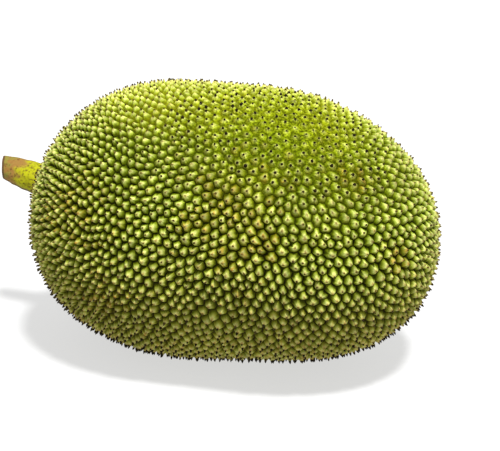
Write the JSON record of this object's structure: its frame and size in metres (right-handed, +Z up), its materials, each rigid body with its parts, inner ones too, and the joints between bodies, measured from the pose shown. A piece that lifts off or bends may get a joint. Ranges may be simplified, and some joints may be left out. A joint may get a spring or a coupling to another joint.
{
  "type": "jackfruit",
  "caption": "Whole ripening jackfruit with a spiny green rind and a stub of woody stalk, lying on its side on a small flat spot.",
  "frame": {"origin": "on the resting surface, in the flat spot straight below the middle of the fruit's body", "axes": "+X along the fruit from its stalk end to its blossom end, +Z up, away from the surface it rests on"},
  "size_m": [0.4551, 0.2772, 0.269],
  "materials": {
    "rind": "waxy, spiny, yellow-green on the spines and dark olive between them",
    "stalk": "dull bark, yellow-green at the fruit and tan at the cut"
  },
  "bodies": {
    "root": {"fruit": "rind", "stalk": "stalk"}
  },
  "joints": []
}
